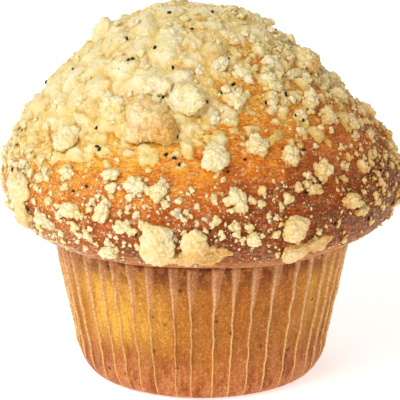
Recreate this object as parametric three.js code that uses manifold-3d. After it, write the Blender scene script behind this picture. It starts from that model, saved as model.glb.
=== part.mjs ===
// A lemon and poppy seed muffin with a streusel top, standing in its pleated paper baking case.
// Millimetres, +Z up. The origin is the middle of the case's flat base, and the front looks along -Y.
// Azimuth runs from the front towards +X. Polar angle runs down from the crown, seen from the cap's middle.
import * as THREE from "three";
import { mergeVertices } from "three/addons/utils/BufferGeometryUtils.js";
import Module from "manifold-3d";

const wasm = await Module();
wasm.setup();

// Paper case: a 48 mm flat base, a rounded foot and a wall that leans out, folded into pleats
const CASE_HEIGHT = 31.2;
const BASE_RADIUS = 23.8;
const FOOT_RADIUS = 27.6;
const FOOT_HEIGHT = 7.5;
const WALL_LEAN = 0.206;
const PAPER = 0.35;
const PLEATS = 44;
const PLEAT_DEPTH_TOP = 1.15;
const PLEAT_DEPTH_FOOT = 0.7;
const PLEAT_HALF_WIDTH_TOP = 1.6;
const PLEAT_HALF_WIDTH_FOOT = 0.9;
const PLEAT_DRIFT = 1.2;
const FRONT_PLEATS = [-60, -51, -42, -36, -29, -21, -12, -5, 4.5, 12, 20, 28.5, 38.5, 46, 55, 61.5, 70];

// Cake: it fills the case and spreads over its rim into a cap
const CLEARANCE = 0.35;
const CAP_MIDDLE = 36;
const CAP_COLUMNS = 50;
const CAP_ROWS = 16;
const CAP_LEAN = -0.06;
const CAP_UPRIGHT = 38;
const OUT_OF_ROUND = [
  [2, 0.01, 3.8],
  [3, 0.006, 1.1],
  [5, 0.004, -2.2],
];
const LIP_SAG = 0.18;
const CROWN_KNOBS = 0.9;
const CAP_PROFILE = [
  [30.5, 31.5],
  [31.1, 31.7],
  [33.4, 31.9],
  [35.8, 32.5],
  [38.4, 33.9],
  [40.4, 36.2],
  [41.9, 39.2],
  [42.4, 42.3],
  [41.6, 45.8],
  [39.3, 50.0],
  [36.2, 54.0],
  [32.8, 57.8],
  [29.3, 61.4],
  [25.7, 65.0],
  [22.2, 68.3],
  [18.6, 71.2],
  [14.6, 73.5],
  [10.2, 75.3],
  [5.4, 76.3],
  [0, 76.6],
];

// Streusel: pieces as large as a berry are nodes, and smaller ones are fused to the cake
const CRUMB_SITES = 620;
const CRUMBS_KEPT = 66;
const CRUMB_SMALLEST = 2.1;
const CRUMB_LARGEST = 4.5;
const CRUMB_LIP_SHRINK = 0.35;
const CRUMB_FACET_SIZE = 4.5;
const CRUMB_HEIGHT = 0.66;
const CRUMB_PROUD = 0.12;
const LUMP_GAP = 1.01;
const GOLDEN_ANGLE = Math.PI * (3 - Math.sqrt(5));

const DEG = Math.PI / 180;

// A repeatable draw from 0 to 1 for the item with this number; each channel is a separate draw.
function draw(item, channel) {
  let h = Math.imul(item * 16 + channel + 1, 0x9e3779b1);
  h ^= h >>> 15;
  h = Math.imul(h, 0x85ebca77);
  h ^= h >>> 13;
  h = Math.imul(h, 0xc2b2ae3d);
  h ^= h >>> 16;
  return (h >>> 0) / 4294967296;
}

function smooth(low, high, value) {
  return THREE.MathUtils.smoothstep(value, low, high);
}

// A turned form, Z up, from a profile of [radius, height]. reshape may move each vertex.
function turned(profile, columns, reshape) {
  const points = profile.map(([radius, height]) => new THREE.Vector2(radius, height));
  const geometry = new THREE.LatheGeometry(points, columns);
  geometry.rotateX(Math.PI / 2);
  const position = geometry.getAttribute("position");
  for (let i = 0; i < position.count; i++) {
    const column = Math.floor(i / points.length) % columns;
    const row = i % points.length;
    const [radius, azimuth, height, shift] = reshape(column, row, ...profile[row]);
    position.setXYZ(i, radius * Math.sin(azimuth) + shift, -radius * Math.cos(azimuth), height);
  }
  return bare(geometry);
}

function bare(geometry) {
  geometry.deleteAttribute("normal");
  geometry.deleteAttribute("uv");
  return mergeVertices(geometry, 1e-4);
}

function solidOf(geometry) {
  const closed = bare(geometry.clone());
  return new wasm.Manifold(
    new wasm.Mesh({
      numProp: 3,
      vertProperties: new Float32Array(closed.getAttribute("position").array),
      triVerts: new Uint32Array(closed.index.array),
    }),
  );
}

function geometryOf(solid) {
  const mesh = solid.getMesh();
  const geometry = new THREE.BufferGeometry();
  geometry.setAttribute("position", new THREE.BufferAttribute(mesh.vertProperties, 3));
  geometry.setIndex(new THREE.BufferAttribute(mesh.triVerts, 1));
  return geometry;
}

// The case's outer radius between its pleats, and how far a pleat stands out there
function wallRadius(height) {
  if (height >= FOOT_HEIGHT) return FOOT_RADIUS + WALL_LEAN * (height - FOOT_HEIGHT) - pleatDepth(height);
  const down = 1 - height / FOOT_HEIGHT;
  const foot = FOOT_RADIUS - pleatDepth(FOOT_HEIGHT);
  return BASE_RADIUS + (foot - BASE_RADIUS) * Math.sqrt(Math.max(0, 1 - down * down));
}

function pleatDepth(height) {
  const up = THREE.MathUtils.clamp((height - FOOT_HEIGHT) / (CASE_HEIGHT - FOOT_HEIGHT), 0, 1);
  return THREE.MathUtils.lerp(PLEAT_DEPTH_FOOT, PLEAT_DEPTH_TOP, up) * smooth(0, FOOT_HEIGHT, height);
}

// Where each pleat stands, in degrees: the front ones as they fell on this muffin, the others about evenly
function pleatPlaces() {
  const first = FRONT_PLEATS[0];
  const last = FRONT_PLEATS[FRONT_PLEATS.length - 1];
  const rest = PLEATS - FRONT_PLEATS.length;
  const gap = (360 - (last - first)) / (rest + 1);
  const others = Array.from({ length: rest }, (_, i) => last + gap * (i + 1 + (draw(i, 0) - 0.5) * 0.3));
  return [...FRONT_PLEATS, ...others];
}

// Three columns make a pleat: one foot of the fold, its crest, and its other foot.
function pleatAzimuth(places, column, height) {
  const pleat = Math.floor(column / 3);
  const up = THREE.MathUtils.clamp(height / CASE_HEIGHT, 0, 1);
  const drift = (draw(pleat, 1) - 0.5) * PLEAT_DRIFT * Math.sin(Math.PI * up);
  const width = THREE.MathUtils.lerp(PLEAT_HALF_WIDTH_FOOT, PLEAT_HALF_WIDTH_TOP, up);
  const half = width * (0.8 + 0.4 * draw(pleat, 2));
  return DEG * (places[pleat] + drift + ((column % 3) - 1) * half);
}

function caseHeights(floor) {
  const foot = [0.12, 0.4, 1].map((share) => floor + (FOOT_HEIGHT - floor) * share);
  const wall = [0.5, 1].map((share) => FOOT_HEIGHT + (CASE_HEIGHT - FOOT_HEIGHT) * share);
  return [...foot, ...wall];
}

function paperCase() {
  const outer = caseHeights(0).map((height) => [wallRadius(height), height]);
  const inner = caseHeights(PAPER).map((height) => [wallRadius(height) - PAPER, height]);
  const below = [[0, 0], [BASE_RADIUS, 0]];
  const above = [[BASE_RADIUS - PAPER, PAPER], [0, PAPER]];
  const profile = [...below, ...outer, ...inner.reverse(), ...above];
  const places = pleatPlaces();
  return turned(profile, PLEATS * 3, (column, row, radius, height) => {
    const onCrest = column % 3 === 1 && radius > 0;
    const crest = onCrest ? pleatDepth(height) * (0.75 + 0.5 * draw(Math.floor(column / 3), 3)) : 0;
    return [radius + crest, pleatAzimuth(places, column, height), height, 0];
  });
}

// The cap is a little out of round, sags at its lip, leans to the left as it rises and is lumpy at its crown.
function capReshape(column, row, radius, height) {
  const azimuth = (2 * Math.PI * column) / CAP_COLUMNS;
  const spread = smooth(32, 37, height);
  const waves = OUT_OF_ROUND.map(([count, depth, turn]) => depth * Math.cos(count * azimuth + turn));
  const bulge = waves.reduce((sum, wave) => sum + wave);
  const nearLip = smooth(31.8, 32.4, height) * (1 - smooth(34, 40, height));
  const sag = LIP_SAG * nearLip * (Math.cos(4 * azimuth + 1) + Math.cos(7 * azimuth));
  const crown = smooth(52, 62, height) * smooth(2, 12, radius);
  const knob = CROWN_KNOBS * crown * (draw(column * 64 + row, 10) - 0.5);
  const shift = CAP_LEAN * (height - CAP_UPRIGHT) * spread;
  return [radius * (1 + bulge * spread) + knob, azimuth, height + sag + knob, shift];
}

function cakeProfile() {
  const floor = PAPER + CLEARANCE;
  const inside = caseHeights(PAPER).map((height) => [wallRadius(height) - floor, height]);
  const curve = new THREE.SplineCurve(CAP_PROFILE.slice(2).map(([r, z]) => new THREE.Vector2(r, z)));
  const cap = curve.getSpacedPoints(CAP_ROWS).map((point) => [Math.max(0, point.x), point.y]);
  return [[0, floor], [BASE_RADIUS - floor, floor], ...inside, ...CAP_PROFILE.slice(0, 2), ...cap];
}

// Where a line from the cap's middle leaves the core, with the directions across, up and out of the crust
function siteOn(core, azimuth, polar) {
  const towards = new THREE.Vector3(
    Math.sin(polar) * Math.sin(azimuth),
    -Math.sin(polar) * Math.cos(azimuth),
    Math.cos(polar),
  );
  const middle = new THREE.Vector3(0, 0, CAP_MIDDLE);
  const [hit] = new THREE.Raycaster(middle, towards).intersectObject(core);
  const out = hit.face.normal.clone();
  const across = new THREE.Vector3(Math.cos(azimuth), Math.sin(azimuth), 0);
  across.addScaledVector(out, -across.dot(out)).normalize();
  const up = new THREE.Vector3().crossVectors(out, across);
  return { point: hit.point, across, up, out };
}

// A rough morsel of streusel: a ball of flat facets, each corner pulled in or out by its own draw
function morsel(size, detail, item, roughness) {
  const geometry = bare(new THREE.IcosahedronGeometry(0.5, detail));
  const position = geometry.getAttribute("position");
  const corner = new THREE.Vector3();
  for (let i = 0; i < position.count; i++) {
    corner.fromBufferAttribute(position, i).multiplyScalar(1 + roughness * (draw(item * 64 + i, 4) - 0.5));
    position.setXYZ(i, corner.x * size.x, corner.y * size.y, corner.z * size.z);
  }
  return geometry;
}

function placed(geometry, site, offset, turn) {
  const frame = new THREE.Matrix4().makeBasis(site.across, site.up, site.out);
  const origin = offset.clone().applyMatrix4(frame).add(site.point);
  frame.multiply(new THREE.Matrix4().makeRotationZ(turn)).setPosition(origin);
  return geometry.clone().applyMatrix4(frame);
}

// Share of the crust that carries streusel: thick over the crown, thin over the glossy shoulder at the
// front left, and scattered again towards the lip
function streuselCover(azimuth, polar) {
  const crown = 1 - smooth(38 * DEG, 58 * DEG, polar);
  const right = 0.5 + 0.5 * Math.cos(azimuth - 100 * DEG);
  const lip = smooth(72 * DEG, 84 * DEG, polar);
  return Math.max(crown, 0.1 + 0.3 * right + 0.3 * lip * (1 - right));
}

// Larger pieces, each where it lies: azimuth and polar angle in degrees, then lobes of
// [across, up, out, width, height, depth] in mm from that place.
const LUMPS = {
  lump_front: [
    -6,
    85,
    [-4.5, 0.6, 0.7, 7.2, 9.4, 5.4],
    [3.0, -0.3, 0.5, 5.8, 8.2, 4.8],
    [4.6, -2.2, 0.1, 10.4, 5.0, 3.4],
    [-1.5, -3.4, 0.1, 12, 3.6, 3.4],
  ],
  lump_front_right: [26, 82, [0, 0, 0.8, 6.2, 5.6, 4.4]],
  lump_lip_right: [31, 89, [-2.8, -0.2, 0.1, 7.0, 5.0, 2.8], [2.6, 1.2, 0.1, 7.2, 4.4, 2.6]],
  lump_left: [-61, 83, [-0.6, 3.4, 0.3, 8.6, 7.4, 4.2], [1.4, -1.4, 0.1, 6.6, 5.8, 3.4]],
  lump_shoulder: [
    -19,
    51,
    [-1.4, 1.8, 1.1, 9.0, 7.6, 6.0],
    [2.2, -1.6, 0.9, 7.2, 6.8, 5.2],
    [-1.6, -2.6, 0.7, 6.2, 5.2, 4.2],
  ],
  lump_middle: [-6, 43, [0, 0, 1.2, 7.8, 7.0, 5.4]],
  lump_gloss: [4, 61, [0, 0, 0.9, 5.8, 7.4, 4.8]],
  lump_right: [78, 35, [0, 0, 1.0, 6.6, 6.6, 5.6]],
  lump_crown: [-105, 13, [0, 0, 0.1, 8.4, 6.4, 4.2]],
  lump_spike: [-90, 29, [0, 0, 0.9, 5.0, 7.4, 5.2]],
  lump_top: [-25, 20, [0, 0, 0.5, 7.4, 7.0, 3.8]],
  lump_upper: [-21, 39, [0, 0, 0.6, 6.8, 5.4, 3.8]],
  lump_left_high: [-37, 48, [0, 0, 0.8, 6.6, 5.8, 4.4]],
  lump_left_low: [-50, 61, [0, 0, 0.7, 6.2, 6.6, 4.2]],
  lump_back_high: [170, 30, [0, 0, 0.8, 7.6, 6.8, 4.8]],
  lump_back_left: [-138, 58, [-1.2, 0.8, 0.8, 7.6, 6.4, 4.8], [2.2, -1.4, 0.5, 5.2, 5.4, 3.8]],
  lump_back_right: [133, 66, [0, 0, 0.8, 7.0, 6.4, 4.6]],
  lump_back_lip: [-171, 84, [-1.8, 0.4, 0.4, 6.8, 7.0, 4.4], [2.6, -0.8, 0.2, 6.4, 5.6, 3.8]],
};

// Smaller pieces that stand out on the front, fused to the cake: [azimuth, polar, size]
const PLACED_CRUMBS = [
  [-28, 68, 3.9],
  [-20, 70, 4.2],
  [-12, 71, 4.2],
  [-38, 79, 4.4],
  [-28, 78, 4.2],
  [-22, 81, 3.6],
  [-27, 89, 4.2],
  [-49, 84, 3.8],
  [-1, 52, 4.6],
  [19, 58, 4.8],
  [30, 62, 4.2],
  [39, 68, 4.7],
  [10, 73, 4.8],
  [14, 84, 3.6],
  [46, 78, 4.2],
  [34, 73, 3.4],
  [57, 71, 3.6],
  [22, 33, 4.6],
  [46, 30, 4.0],
  [36, 37, 4.6],
  [16, 42, 4.6],
  [53, 46, 4.8],
  [68, 59, 3.8],
  [-53, 49, 4.4],
  [-78, 43, 4.6],
  [80, 7, 4.8],
  [140, 12, 4.4],
];

function lumpSolid(site, lobes, number, shell) {
  const parts = lobes.map(([across, up, out, width, height, depth], i) => {
    const rough = morsel(new THREE.Vector3(width, height, depth), 1, 900 + number * 8 + i, 0.3);
    return solidOf(placed(rough, site, new THREE.Vector3(across, up, out), 0));
  });
  return parts.reduce((whole, lobe) => whole.add(lobe)).subtract(shell);
}

function isClear(point, size, others) {
  return others.every((other) => point.distanceTo(other.point) > (size + other.size) * 0.5);
}

// Pieces by rule: the largest first, kept apart, and only where the crust carries streusel
function crumbSites(core, taken) {
  const candidates = [];
  for (let i = 0; i < CRUMB_SITES; i++) {
    const polar = Math.acos(1 - ((i + 0.5) / CRUMB_SITES) * (1 - Math.cos(92 * DEG)));
    const azimuth = i * GOLDEN_ANGLE + (draw(i, 5) - 0.5) * 0.2;
    const share = draw(i, 6);
    const shrink = 1 - CRUMB_LIP_SHRINK * smooth(60 * DEG, 80 * DEG, polar);
    const size = shrink * (CRUMB_SMALLEST + (CRUMB_LARGEST - CRUMB_SMALLEST) * share * share);
    if (draw(i, 7) < streuselCover(azimuth, polar)) candidates.push({ item: i, azimuth, polar, size });
  }
  candidates.sort((a, b) => b.size - a.size);
  const kept = [];
  for (const crumb of candidates) {
    const site = siteOn(core, crumb.azimuth, crumb.polar);
    if (isClear(site.point, crumb.size, [...taken, ...kept])) kept.push({ ...crumb, ...site });
    if (kept.length === CRUMBS_KEPT) break;
  }
  return kept;
}

const material = {
  crust: new THREE.MeshStandardMaterial({ color: 0xd99a4e, roughness: 0.55, metalness: 0 }),
  streusel: new THREE.MeshStandardMaterial({ color: 0xf0dfa4, roughness: 0.9, metalness: 0 }),
  paper: new THREE.MeshStandardMaterial({ color: 0xc98b52, roughness: 0.7, metalness: 0 }),
};

function node(name, geometry, finish) {
  const mesh = new THREE.Mesh(geometry, finish);
  mesh.name = name;
  return mesh;
}

const muffin = new THREE.Group();
muffin.add(node("paper_case", paperCase(), material.paper));

const coreGeometry = turned(cakeProfile(), CAP_COLUMNS, capReshape);
const core = new THREE.Mesh(coreGeometry, new THREE.MeshBasicMaterial({ side: THREE.DoubleSide }));
core.updateMatrixWorld();
const coreSolid = solidOf(coreGeometry);
const lumpShell = coreSolid
  .translate([0, 0, -CAP_MIDDLE])
  .scale(LUMP_GAP)
  .translate([0, 0, CAP_MIDDLE]);

const taken = [];
Object.entries(LUMPS).forEach(([name, [azimuth, polar, ...lobes]], number) => {
  const site = siteOn(core, azimuth * DEG, polar * DEG);
  for (const [across, up, , width, height] of lobes) {
    const point = site.point.clone().addScaledVector(site.across, across).addScaledVector(site.up, up);
    taken.push({ point, size: Math.max(width, height) * 1.1 + 0.8 });
  }
  muffin.add(node(name, geometryOf(lumpSolid(site, lobes, number, lumpShell)), material.streusel));
});

const crumbs = PLACED_CRUMBS.map(([azimuth, polar, size], i) => {
  const site = siteOn(core, azimuth * DEG, polar * DEG);
  return { item: CRUMB_SITES + i, azimuth: azimuth * DEG, polar: polar * DEG, size, ...site };
}).filter((crumb) => isClear(crumb.point, crumb.size, taken));
crumbs.push(...crumbSites(core, [...taken, ...crumbs]));

let cake = coreSolid;
for (const crumb of crumbs) {
  const stretch = 0.8 + 0.5 * draw(crumb.item, 8);
  const size = new THREE.Vector3(crumb.size * stretch, crumb.size / stretch, crumb.size * CRUMB_HEIGHT);
  const rough = morsel(size, crumb.size > CRUMB_FACET_SIZE ? 1 : 0, crumb.item, 0.34);
  const offset = new THREE.Vector3(0, 0, crumb.size * CRUMB_PROUD);
  cake = cake.add(solidOf(placed(rough, crumb, offset, draw(crumb.item, 9) * Math.PI)));
}
muffin.add(node("muffin_cake", geometryOf(cake), material.crust));

export default muffin;
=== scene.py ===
import math

import bpy
import numpy as np
from mathutils import Matrix, Vector, noise
from mathutils.bvhtree import BVHTree


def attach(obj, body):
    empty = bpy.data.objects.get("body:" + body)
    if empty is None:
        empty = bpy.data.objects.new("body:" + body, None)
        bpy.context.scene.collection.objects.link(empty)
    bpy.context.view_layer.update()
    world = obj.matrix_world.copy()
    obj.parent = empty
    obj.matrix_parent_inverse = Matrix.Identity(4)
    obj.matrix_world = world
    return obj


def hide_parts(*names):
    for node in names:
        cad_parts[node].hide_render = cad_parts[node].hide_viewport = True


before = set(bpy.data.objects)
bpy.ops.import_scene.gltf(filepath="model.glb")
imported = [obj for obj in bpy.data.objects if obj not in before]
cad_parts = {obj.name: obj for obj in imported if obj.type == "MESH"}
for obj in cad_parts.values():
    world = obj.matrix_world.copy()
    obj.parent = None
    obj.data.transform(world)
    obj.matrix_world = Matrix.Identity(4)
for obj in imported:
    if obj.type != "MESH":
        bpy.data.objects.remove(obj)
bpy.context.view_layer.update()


# The paper case
# A disc of thin greaseproof paper, pressed into 44 narrow pleats round a flat base. The foot is rounded and
# the wall leans out. Butter has soaked through, so the cake's colour and its seeds show in the valleys.
MM = 0.001
CASE_HEIGHT = 31.2
BASE_RADIUS = 23.8
FOOT_RADIUS = 27.6
FOOT_HEIGHT = 7.5
WALL_LEAN = 0.206
PAPER = 0.35
PLEATS = 44
PLEAT_DEPTH_TOP = 1.15
PLEAT_DEPTH_FOOT = 0.7
PLEAT_DRIFT = 1.2
FRONT_PLEATS = [-60, -51, -42, -36, -29, -21, -12, -5, 4.5, 12, 20, 28.5, 38.5, 46, 55, 61.5, 70]
FOLD_STEPS = [-1, -0.62, -0.3, 0, 0.3, 0.62, 1]
FOLD_RISE = [0, 0.2, 0.62, 1, 0.62, 0.2, 0]
VALLEY_STEPS = 8
WALL_ROWS = 26
LAP_WIDTH = 3.3


def draw(item, channel):
    """A repeatable number from 0 to 1 for the item with this number; each channel is a separate draw."""
    mixed = ((item * 16 + channel + 1) * 0x9E3779B1) & 0xFFFFFFFF
    mixed ^= mixed >> 15
    mixed = (mixed * 0x85EBCA77) & 0xFFFFFFFF
    mixed ^= mixed >> 13
    mixed = (mixed * 0xC2B2AE3D) & 0xFFFFFFFF
    mixed ^= mixed >> 16
    return mixed / 4294967296


def smooth(low, high, value):
    share = np.clip((value - low) / (high - low), 0, 1)
    return share * share * (3 - 2 * share)


def lerp(start, end, share):
    return start + (end - start) * share


def tint(code, alpha=1.0):
    """A linear colour from its six-figure screen code."""
    parts = [int(code[i : i + 2], 16) / 255 for i in (0, 2, 4)]
    return [p / 12.92 if p <= 0.04045 else ((p + 0.055) / 1.055) ** 2.4 for p in parts] + [alpha]


def pleat_depth(height):
    up = np.clip((height - FOOT_HEIGHT) / (CASE_HEIGHT - FOOT_HEIGHT), 0, 1)
    return lerp(PLEAT_DEPTH_FOOT, PLEAT_DEPTH_TOP, up) * smooth(0, FOOT_HEIGHT, height)


def wall_radius(height):
    if height >= FOOT_HEIGHT:
        return FOOT_RADIUS + WALL_LEAN * (height - FOOT_HEIGHT) - pleat_depth(height)
    down = 1 - height / FOOT_HEIGHT
    foot = FOOT_RADIUS - pleat_depth(FOOT_HEIGHT)
    return BASE_RADIUS + (foot - BASE_RADIUS) * math.sqrt(max(0, 1 - down * down))


def read_points(mesh, unit=MM):
    """The mesh's vertices as rows of three numbers, in mm unless another unit is given."""
    points = np.empty(len(mesh.vertices) * 3)
    mesh.vertices.foreach_get("co", points)
    return points.reshape(-1, 3) / unit


def write_points(mesh, points):
    mesh.vertices.foreach_set("co", (points * MM).ravel())
    mesh.update()


def mark(mesh, name, values):
    """Stores one number for each vertex, for the material to read."""
    layer = mesh.attributes.new(name, "FLOAT", "POINT")
    layer.data.foreach_set("value", np.asarray(values, dtype=float))


def drawn_up(name, columns, profile):
    """A closed form drawn up from a circle ring by ring: each ring is extruded, then scaled to its radius."""
    bpy.ops.object.select_all(action="DESELECT")
    radius, height = profile[0]
    bpy.ops.mesh.primitive_circle_add(vertices=columns, radius=radius * MM, location=(0, 0, height * MM))
    form = bpy.context.object
    form.name = name
    form.data.name = name
    bpy.ops.object.mode_set(mode="EDIT")
    bpy.ops.mesh.select_all(action="SELECT")
    for (radius, height), (wider, higher) in zip(profile, profile[1:]):
        bpy.ops.mesh.extrude_region_move(TRANSFORM_OT_translate={"value": (0, 0, (higher - height) * MM)})
        grow = wider / radius
        bpy.ops.transform.resize(value=(grow, grow, 1), center_override=(0, 0, higher * MM))
    bpy.ops.mesh.merge(type="CENTER")
    bpy.ops.mesh.select_all(action="DESELECT")
    bpy.ops.mesh.select_non_manifold(
        use_wire=False, use_multi_face=False, use_non_contiguous=False, use_verts=False
    )
    bpy.ops.mesh.extrude_region_move(TRANSFORM_OT_translate={"value": (0, 0, 0)})
    bpy.ops.transform.resize(value=(0.5, 0.5, 1), center_override=(0, 0, profile[0][1] * MM))
    bpy.ops.mesh.extrude_region_move(TRANSFORM_OT_translate={"value": (0, 0, 0)})
    bpy.ops.mesh.merge(type="CENTER")
    bpy.ops.mesh.select_all(action="SELECT")
    bpy.ops.mesh.normals_make_consistent(inside=False)
    bpy.ops.object.mode_set(mode="OBJECT")
    bpy.ops.object.transform_apply(location=True, rotation=False, scale=False)
    bpy.ops.object.shade_smooth()
    return form


def azimuth_of(points):
    """Degrees from the front towards the right."""
    return np.degrees(np.arctan2(points[:, 0], -points[:, 1]))


def pleat_places():
    first, last = FRONT_PLEATS[0], FRONT_PLEATS[-1]
    rest = PLEATS - len(FRONT_PLEATS)
    gap = (360 - (last - first)) / (rest + 1)
    return FRONT_PLEATS + [last + gap * (i + 1 + (draw(i, 0) - 0.5) * 0.3) for i in range(rest)]


def lap_share(past, pleat, up):
    """1 where the paper lies double beside a fold: wide under the rim, and gone half way down."""
    taper = float(smooth(0.34 + 0.25 * draw(pleat, 7), 1.02, up))
    width = LAP_WIDTH * (0.75 + 0.5 * draw(pleat, 6)) * taper
    return (1 - float(smooth(width - 0.7, width + 0.5, past))) * float(smooth(0.05, 0.25, taper))


def fold_centre(number, z):
    """The azimuth of a fold's middle at a height: its place with a slow drift and small waves."""
    pleat, up = number % PLEATS, z / CASE_HEIGHT
    place = fold_places[pleat] + (360 if number >= PLEATS else 0)
    drift = (draw(pleat, 1) - 0.5) * PLEAT_DRIFT * math.sin(math.pi * up)
    wave = noise.noise(Vector((pleat * 7.3, z / 3.2, 0.5))) * 0.8
    return place + drift + wave * math.sin(math.pi * min(1, max(0, up)))


pleat_columns = len(FOLD_STEPS) + VALLEY_STEPS
foot_rows = [FOOT_HEIGHT * share for share in (0.06, 0.16, 0.3, 0.48, 0.72, 1)]
wall_rows = [lerp(FOOT_HEIGHT, CASE_HEIGHT, (i + 1) / WALL_ROWS) for i in range(WALL_ROWS)]
outer_rows = [(BASE_RADIUS, 0)] + [(wall_radius(z), z) for z in foot_rows + wall_rows]
inner_rows = [(wall_radius(z) - PAPER, z) for z in (CASE_HEIGHT, 24, 16, FOOT_HEIGHT, 3, 1)]
inner_rows += [(BASE_RADIUS - PAPER, PAPER), (1, PAPER)]
paper_case = drawn_up("greaseproof_case", PLEATS * pleat_columns, outer_rows + inner_rows)

points = read_points(paper_case.data)
reach = np.hypot(points[:, 0], points[:, 1])
ring_heights = np.array([z for _, z in outer_rows])
ring_radii = np.array([r for r, _ in outer_rows])
off_wall = np.abs(reach - np.interp(points[:, 2], ring_heights, ring_radii))
outer = (off_wall < PAPER * 0.5) & (reach > BASE_RADIUS - 0.01)
step = 2 * math.pi / (PLEATS * pleat_columns)
columns = np.round(np.arctan2(points[:, 0], -points[:, 1]) / step).astype(int) % (PLEATS * pleat_columns)
fold_places = pleat_places()
fold = np.zeros(len(points))
lap = np.zeros(len(points))
for i, z in enumerate(points[:, 2]):
    if reach[i] < 2:
        continue
    pleat, local = divmod(int(columns[i]), pleat_columns)
    up = z / CASE_HEIGHT
    open_half = 0.6 + 0.2 * up + 0.9 * float(smooth(0.55, 1.0, up))
    half = open_half * (0.8 + 0.4 * draw(pleat, 2))
    next_half = open_half * (0.8 + 0.4 * draw((pleat + 1) % PLEATS, 2))
    rise = 0.0
    if local < len(FOLD_STEPS):
        degrees = fold_centre(pleat, z) + FOLD_STEPS[local] * half
        rise = FOLD_RISE[local]
        if local > 3:
            lap[i] = lap_share(1.0, pleat, up)
    else:
        share = (local - len(FOLD_STEPS) + 1) / (VALLEY_STEPS + 1)
        degrees = lerp(fold_centre(pleat, z) + half, fold_centre(pleat + 1, z) - next_half, share)
        lap[i] = lap_share(degrees - fold_centre(pleat, z), pleat, up)
    turned = math.radians(degrees)
    radius = reach[i]
    if outer[i]:
        wavering = 0.85 + 0.3 * noise.noise(Vector((pleat, z / 4, 9)))
        crest = float(pleat_depth(z)) * (0.75 + 0.5 * draw(pleat, 3)) * wavering
        slack = 0.16 * noise.noise(Vector((math.sin(turned) * 5, math.cos(turned) * 5, z / 7)))
        radius += rise * crest + (slack + 0.3 * lap[i]) * float(smooth(0.5, 5, z)) * (1 - rise)
        fold[i] = rise
    points[i] = (radius * math.sin(turned), -radius * math.cos(turned), z)
write_points(paper_case.data, points)
mark(paper_case.data, "fold", fold)
mark(paper_case.data, "lap", lap)


def new_material(name):
    material = bpy.data.materials.new(name)
    material.use_nodes = True
    return material, material.node_tree, material.node_tree.nodes["Principled BSDF"]


def add(tree, kind, inputs=(), **settings):
    """A node with its settings, and with its inputs set to values or linked from outputs."""
    made = tree.nodes.new(kind)
    for key, value in settings.items():
        setattr(made, key, value)
    for key, value in dict(inputs).items():
        if isinstance(value, bpy.types.NodeSocket):
            tree.links.new(value, made.inputs[key])
        else:
            made.inputs[key].default_value = value
    return made


def blend(tree, share, first, second, how="MIX"):
    """The colour output of a mix of two colours or colour outputs."""
    mixed = add(tree, "ShaderNodeMix", {0: share, 6: first, 7: second}, data_type="RGBA", blend_type=how)
    return mixed.outputs[2]


def ranged(tree, value, low, high, start=0.0, end=1.0):
    spread = add(tree, "ShaderNodeMapRange", {0: value, 1: low, 2: high, 3: start, 4: end})
    return spread.outputs[0]


def maths(tree, first, second, how="MULTIPLY"):
    """The output of one sum on two numbers or outputs: their product, unless how names another sum."""
    return add(tree, "ShaderNodeMath", {0: first, 1: second}, operation=how).outputs[0]


def noise_at(tree, where, size, detail=3.0, rough=0.55):
    """Soft noise with features about size mm across."""
    inputs = {"Vector": where, "Scale": 1 / (size * MM), "Detail": detail, "Roughness": rough}
    return add(tree, "ShaderNodeTexNoise", inputs).outputs[0]


def new_group(name, inputs, output):
    """An empty node group, with what it is given and the socket that its result goes to."""
    group = bpy.data.node_groups.new(name, "ShaderNodeTree")
    for label in inputs:
        kind = "NodeSocketVector" if label == "Vector" else "NodeSocketFloat"
        group.interface.new_socket(label, in_out="INPUT", socket_type=kind)
    group.interface.new_socket(output, in_out="OUTPUT", socket_type="NodeSocketFloat")
    given = group.nodes.new("NodeGroupInput").outputs
    return group, given, group.nodes.new("NodeGroupOutput").inputs[output]


def make_specks_group():
    """Scattered round specks: a share of the cells of a cell pattern holds one, full in its middle."""
    group, given, result = new_group("specks", ("Vector", "Spacing", "Radius", "Share"), "Mask")
    scale = maths(group, 1 / MM, given["Spacing"], "DIVIDE")
    cells = add(group, "ShaderNodeTexVoronoi", {"Vector": given["Vector"], "Scale": scale}).outputs
    lot = add(group, "ShaderNodeSeparateColor", {0: cells["Color"]}).outputs[0]
    chosen = maths(group, lot, given["Share"], "LESS_THAN")
    reach = maths(group, given["Radius"], given["Spacing"], "DIVIDE")
    spot = ranged(group, cells["Distance"], reach, maths(group, reach, 0.55))
    group.links.new(maths(group, spot, chosen), result)
    return group


def make_grain_group():
    """Fine baked grain as a height: small rounded grains over softer unevenness."""
    group, given, result = new_group("grain", ("Vector", "Size", "Roundness"), "Height")
    scale = maths(group, 1 / MM, given["Size"], "DIVIDE")
    cells = add(group, "ShaderNodeTexVoronoi", {"Vector": given["Vector"], "Scale": scale}).outputs
    backs = maths(group, 1.0, cells["Distance"], "SUBTRACT")
    soft = add(group, "ShaderNodeTexNoise", {"Vector": given["Vector"], "Scale": scale, "Detail": 4.0})
    height = add(group, "ShaderNodeMix", {0: given["Roundness"], 2: soft.outputs[0], 3: backs})
    group.links.new(height.outputs[0], result)
    return group


specks_group = make_specks_group()
grain_group = make_grain_group()


def specks(tree, where, spacing, radius, share):
    inputs = {"Vector": where, "Spacing": spacing, "Radius": radius, "Share": share}
    return add(tree, "ShaderNodeGroup", inputs, node_tree=specks_group).outputs["Mask"]


def grain(tree, where, size, roundness):
    inputs = {"Vector": where, "Size": size, "Roundness": roundness}
    return add(tree, "ShaderNodeGroup", inputs, node_tree=grain_group).outputs["Height"]


def object_place(tree):
    return add(tree, "ShaderNodeTexCoord").outputs["Object"]


def attribute(tree, name):
    return add(tree, "ShaderNodeAttribute", attribute_name=name).outputs["Fac"]


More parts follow.
